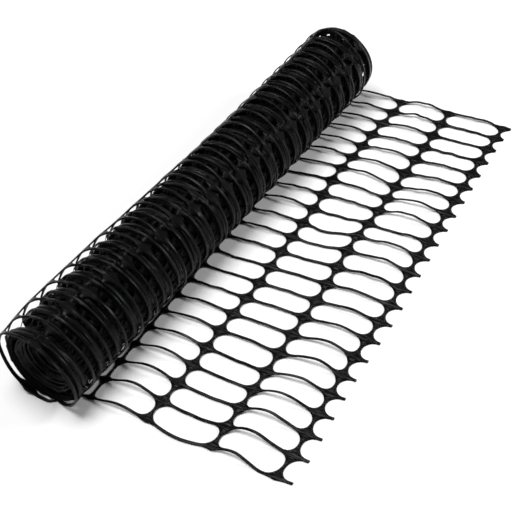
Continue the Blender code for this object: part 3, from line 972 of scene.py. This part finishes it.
def inner_place(near_end):
    """Places of the inner turns at one end, wound inwards from the last full turn."""
    end_y = ROLL_NEAR_Y if near_end else ROLL_NEAR_Y + ROLL_LENGTH
    start = inner_start(near_end)

    def place(flat):
        growth = INNER_PITCH / (2 * pi)
        radius = np.sqrt(np.maximum(start**2 - 2.0 * growth * flat[:, 0], INNER_END**2))
        angle = (start - radius) / growth
        back = END_RECESS * smooth((start - radius) / (start - INNER_END))
        back = back + INNER_WAVE * np.sin(INNER_PHASE * angle / (2 * pi)) + INNER_BACK
        w = flat[:, 1]
        y = end_y + w + back if near_end else end_y + w - WIDTH - back
        reach = radius - flat[:, 2]
        middle = BORE_Z + (roll_radius(y) + SETTLE - BORE_Z) * radius / roll_radius(y)
        return np.stack([ROLL_X - reach * np.sin(angle), y, middle - reach * np.cos(angle)], axis=1)

    return place


for name, near_end, first in (("inner_turns_near", True, 0), ("inner_turns_far", False, ROWS - 3)):
    length = (inner_start(near_end) ** 2 - INNER_END**2) * pi / INNER_PITCH
    columns = int(length / CHAIN_PITCH)
    inner = flat_net(PLAIN_STEPS, WOUND_HALF, PLAIN_RINGS, (0, columns), (first, first + 2))
    cut_across(inner, ONWARD * 0.5 * CHAIN_PITCH, BACK)
    cut_across(inner, ONWARD * (columns - 0.5) * CHAIN_PITCH, ONWARD)
    net_object(name, inner, inner_place(near_end), False)

# %% [markdown]
# The packed body starts as half of its cross-section, a closed line of points. The spin operator
# turns it round the roll's axis. Then each point is raised to its height over the floor. The
# middle of the bore and that of the outer turns differ a little in height, so that height
# depends on how far out the point is.

# %% Packed body
BODY_DEPTH = 50 * MM  # the body starts this far inside the ends of the roll
BODY_UNDER = 16 * MM  # and this far under its surface
BODY_NEAR_RADIUS = 58 * MM  # its radius at its near end
BODY_FAR_RADIUS = 64 * MM  # and at its far end
BODY_STEPS = 6  # steps along each flat side of the cross-section
BODY_SPOKES = 48  # steps round the axis
RIDGE = [(-0.42, -2.0), (-0.2, 0.0), (0.2, 0.0), (0.42, -2.0)]  # share of a row's pitch, mm up
near_y = ROLL_NEAR_Y + BODY_DEPTH
far_y = ROLL_NEAR_Y + ROLL_LENGTH - BODY_DEPTH


def even_steps(start, end):
    """Places from the start to just before the end, in even steps."""
    shares = [step / BODY_STEPS for step in range(BODY_STEPS)]
    return [tuple(a + (b - a) * share for a, b in zip(start, end)) for share in shares]


profile = []
for row in range(1, ROWS - 1):
    y = ROLL_NEAR_Y + (ROLL_LENGTH - WIDTH) / 2 + row * ROW_PITCH
    for offset, rise in RIDGE:
        along = min(max(y + offset * ROW_PITCH, near_y), far_y)
        profile.append((along, float(roll_radius(along)) - BODY_UNDER + rise * MM))
profile += even_steps((far_y, BODY_FAR_RADIUS), (far_y, BORE_RADIUS))[1:]
profile += even_steps((far_y, BORE_RADIUS), (near_y, BORE_RADIUS))
profile += even_steps((near_y, BORE_RADIUS), (near_y, BODY_NEAR_RADIUS))
body = bmesh.new()
corners = [body.verts.new((radius, y, 0.0)) for y, radius in profile]
for corner, following in zip(corners, corners[1:] + corners[:1]):
    body.edges.new((corner, following))
whole = body.verts[:] + body.edges[:]
bmesh.ops.spin(body, geom=whole, axis=(0.0, 1.0, 0.0), angle=2 * pi, steps=BODY_SPOKES, use_merge=True)
for vert in body.verts:
    surface = float(roll_radius(vert.co.y))
    radius = Vector((vert.co.x, vert.co.z)).length
    middle = BORE_Z + (surface + SETTLE - BORE_Z) * radius / surface
    vert.co = (vert.co.x + ROLL_X, vert.co.y, vert.co.z + middle)
bmesh.ops.remove_doubles(body, verts=body.verts, dist=MERGE)
bmesh.ops.recalc_face_normals(body, faces=body.faces)
body_data = as_mesh("packed_turns", body)
body_data.shade_smooth()
packed_turns = add_object("packed_turns", body_data)
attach(packed_turns, "root")
print("packed body faces:", len(body_data.polygons))

# %% [markdown]
# ## Materials
#
# The net is high-density polyethylene with carbon black in it, extruded as a sheet and then
# stretched. Stretching gives the strands a pale grain along their length, and it leaves the
# knots plain black. Handling has scuffed the outer turns, so their gloss differs from place to
# place. A second copy of the plastic is duller and has darker grain: it paints the shade deep in
# the roll and in the sunken chains, and damps the highlight on the knots on top of the roll. Real
# grain is finer than a pixel of the photograph, so it is drawn as coarse as its streaks look there.


# %% Colour and node helpers
def linear(hex_colour):
    """An sRGB hex colour as linear red, green, blue and alpha."""
    channels = [int(hex_colour[i : i + 2], 16) / 255 for i in (1, 3, 5)]
    return [c / 12.92 if c <= 0.04045 else ((c + 0.055) / 1.055) ** 2.4 for c in channels] + [1.0]


def add_node(tree, kind, settings, inputs):
    """A node with its settings. Inputs are values, or sockets of other nodes to link from."""
    made = tree.nodes.new(kind)
    for key, value in settings.items():
        setattr(made, key, value)
    for key, value in inputs.items():
        if isinstance(value, bpy.types.NodeSocket):
            tree.links.new(value, made.inputs[key])
        else:
            made.inputs[key].default_value = value
    return made


print("linear middle grey:", round(linear("#808080")[0], 3))

# %% Stretched polyethylene
GRAIN_LENGTH = 100 * MM
GRAIN_WIDTH = 4.1667 * MM  # real grain is much finer
SCUFF_SIZE = 16.6667 * MM
BUMP_DEPTH = 4 * MM
KNOT_PLAIN = 0.9  # share of the grain's paleness that a knot loses
POLYETHYLENE_IOR = 1.51


def stretched_polyethylene(name, rough, gloss, dark, light):
    """Black plastic with pale grain, and with two values that its roughness lies between."""
    material = bpy.data.materials.new(name)
    material.use_nodes = True
    tree = material.node_tree
    shader = tree.nodes["Principled BSDF"]
    along = add_node(tree, "ShaderNodeUVMap", {"uv_map": "along and across"}, {})
    drawn_out = {"Vector": along.outputs["UV"], "Scale": (1 / GRAIN_LENGTH, 1 / GRAIN_WIDTH, 1.0)}
    grain_place = add_node(tree, "ShaderNodeMapping", {}, drawn_out)
    grain_look = {"Vector": grain_place.outputs["Vector"], "Scale": 1.0, "Detail": 2.0}
    grain = add_node(tree, "ShaderNodeTexNoise", {}, grain_look)
    place = add_node(tree, "ShaderNodeTexCoord", {}, {})
    scuff_look = {"Vector": place.outputs["Object"], "Scale": 1 / SCUFF_SIZE, "Detail": 5.0}
    scuff = add_node(tree, "ShaderNodeTexNoise", {}, scuff_look)
    rough_range = {"From Min": 0.3, "From Max": 0.7, "To Min": rough[0], "To Max": rough[1]}
    roughness = add_node(tree, "ShaderNodeMapRange", {}, {"Value": scuff.outputs["Fac"], **rough_range})
    knot = add_node(tree, "ShaderNodeAttribute", {"attribute_name": "knot"}, {})
    streak_range = {"From Min": 0.46, "From Max": 0.62, "To Min": 0.0, "To Max": 1.0}
    streaks = add_node(tree, "ShaderNodeMapRange", {}, {"Value": grain.outputs["Fac"], **streak_range})
    plain = {0: knot.outputs["Fac"], 1: -KNOT_PLAIN, 2: 1.0}
    off_knot = add_node(tree, "ShaderNodeMath", {"operation": "MULTIPLY_ADD"}, plain)
    both = {0: streaks.outputs["Result"], 1: off_knot.outputs["Value"]}
    pale = add_node(tree, "ShaderNodeMath", {"operation": "MULTIPLY"}, both)
    mixed = {"Factor": pale.outputs["Value"], "A": linear(dark), "B": linear(light)}
    colour = add_node(tree, "ShaderNodeMix", {"data_type": "RGBA"}, mixed)
    dent = {"Height": scuff.outputs["Fac"], "Strength": 0.2, "Distance": BUMP_DEPTH}
    dents = add_node(tree, "ShaderNodeBump", {}, dent)
    groove = {"Height": grain.outputs["Fac"], "Strength": 1.0, "Distance": BUMP_DEPTH}
    bump = add_node(tree, "ShaderNodeBump", {}, {"Normal": dents.outputs["Normal"], **groove})
    tree.links.new(colour.outputs["Result"], shader.inputs["Base Color"])
    tree.links.new(roughness.outputs["Result"], shader.inputs["Roughness"])
    tree.links.new(bump.outputs["Normal"], shader.inputs["Normal"])
    shader.inputs["IOR"].default_value = POLYETHYLENE_IOR
    shader.inputs["Specular IOR Level"].default_value = gloss
    return material


net_plastic = stretched_polyethylene(
    "stretched_black_polyethylene", rough=(0.24, 0.4), gloss=0.12, dark="#030304", light="#161618"
)
# a duller copy with darker grain: painted shade in the roll's recesses, and a damped highlight on its
# top knots
dull_shade_plastic = stretched_polyethylene(
    "duller_black_polyethylene_painted_shade", rough=(0.45, 0.6), gloss=0.06, dark="#030304", light="#0d0d0e"
)
for piece in (loose_net, wound_net):
    piece.data.materials.append(net_plastic)
    piece.data.materials.append(dull_shade_plastic)
for name in ("inner_turns_near", "inner_turns_far"):
    bpy.data.objects[name].data.materials.append(net_plastic)
# the packed body lies deep in the roll's shade, and takes the painted shade too
packed_turns.data.materials.append(dull_shade_plastic)
print("net material nodes:", len(net_plastic.node_tree.nodes))

# %% [markdown]
# ## Floor and light
#
# The photograph shows the net on a white floor that is lit so strongly that only the shade
# close to the roll still shows. A large lamp overhead lights it, with little shine. A smaller
# one, low at the far right, makes only the glints on the plastic, so it has no diffuse part. A
# weak white world fills the shade.

# %% Floor
FLOOR_HALF = 6.0  # in metres
floor_mesh = bmesh.new()
bmesh.ops.create_grid(floor_mesh, x_segments=1, y_segments=1, size=FLOOR_HALF)
floor = add_object("floor", as_mesh("floor", floor_mesh))
white = bpy.data.materials.new("white_studio_floor")
white.use_nodes = True
matte = white.node_tree.nodes["Principled BSDF"].inputs
matte["Base Color"].default_value = linear("#f2f2f2")
matte["Roughness"].default_value = 0.8
matte["Specular IOR Level"].default_value = 0.0
floor.data.materials.append(white)
print("floor width, m:", 2 * FLOOR_HALF)


# %% Lights
AIM = Vector((-0.1, 0.0, 0.0))  # both lamps point here


def area_light(name, place, size, power):
    lamp = bpy.data.lights.new(name, "AREA")
    lamp.shape = "DISK"
    lamp.size = size
    lamp.energy = power
    made = add_object(name, lamp)
    made.location = place
    made.rotation_euler = (AIM - Vector(place)).to_track_quat("-Z", "Y").to_euler()
    return made


overhead = area_light("overhead", place=(-1.15, -0.5, 5.0), size=3.8, power=300.0)
overhead.data.specular_factor = 0.2
glint = area_light("glint", place=(2.7, 2.4, 2.0), size=1.3, power=97.0)
glint.data.diffuse_factor = 0.0
bpy.context.scene.view_settings.view_transform = "Standard"
world = bpy.data.worlds.new("studio")
world.use_nodes = True
sky = world.node_tree.nodes["Background"].inputs
sky["Color"].default_value = linear("#ffffff")
sky["Strength"].default_value = 0.11
bpy.context.scene.world = world
print("lamps, W:", overhead.data.energy, glint.data.energy)

# %% Finish
# Plastic takes up 31% of the net, and openings take up the rest.
for name, held, length in (("loose_net", "laid", 1.06), ("wound_net", "stretched", 8.1)):
    piece = bpy.data.objects[name]
